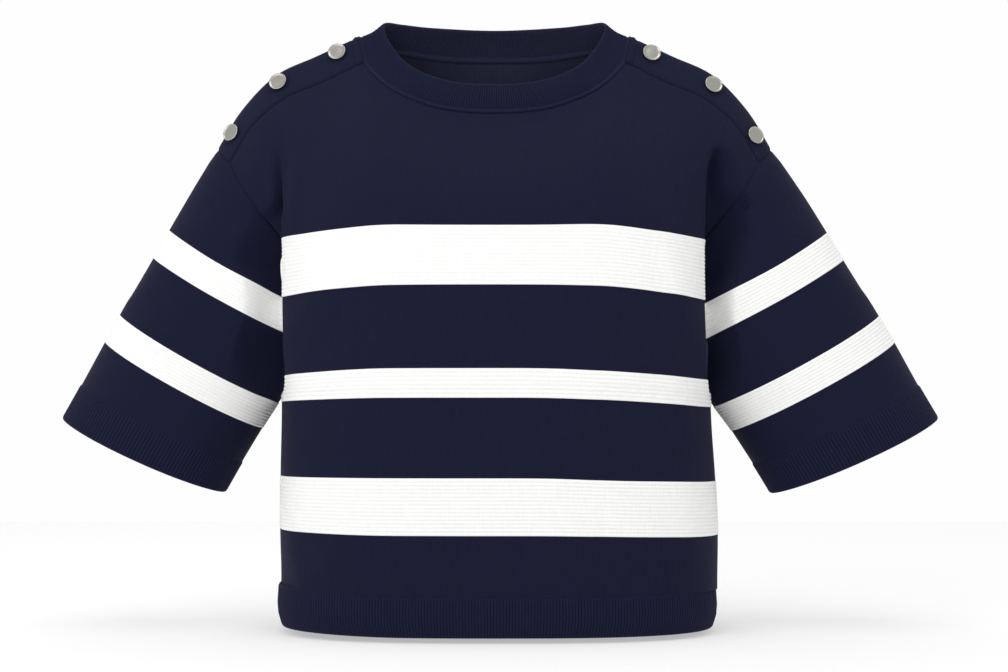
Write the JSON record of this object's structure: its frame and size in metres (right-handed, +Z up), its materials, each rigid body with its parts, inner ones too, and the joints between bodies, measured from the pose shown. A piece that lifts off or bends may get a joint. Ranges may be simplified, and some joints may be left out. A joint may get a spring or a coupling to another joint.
{
  "type": "striped short-sleeved knitted top",
  "caption": "Cropped boxy knitted top with half sleeves, rib collar, cuffs and hem, pale stripes and buttoned shoulder strips, filled out and hollow.",
  "frame": {"origin": "midway between the points where the two shoulder ridges meet the collar, where a wearer's shoulders hold it up", "axes": "+X towards the garment's own left sleeve, +Y towards its back, +Z up"},
  "size_m": [0.7409, 0.2245, 0.5139],
  "materials": {
    "striped_knit": "matte fine knit with white stripes",
    "rib_knit": "matte ribbed knit",
    "strip_knit": "matte plain knit",
    "button_metal": "polished silver-coloured metal"
  },
  "bodies": {
    "root": {"front": "striped_knit", "back": "striped_knit", "sleeve_right": "striped_knit", "sleeve_left": "striped_knit", "collar": "rib_knit", "hem_band": "rib_knit", "cuff_right": "rib_knit", "cuff_left": "rib_knit", "shoulder_strip_right": "strip_knit", "shoulder_strip_left": "strip_knit", "button_right_1": "button_metal", "button_right_2": "button_metal", "button_right_3": "button_metal", "button_left_1": "button_metal", "button_left_2": "button_metal", "button_left_3": "button_metal"}
  },
  "joints": []
}
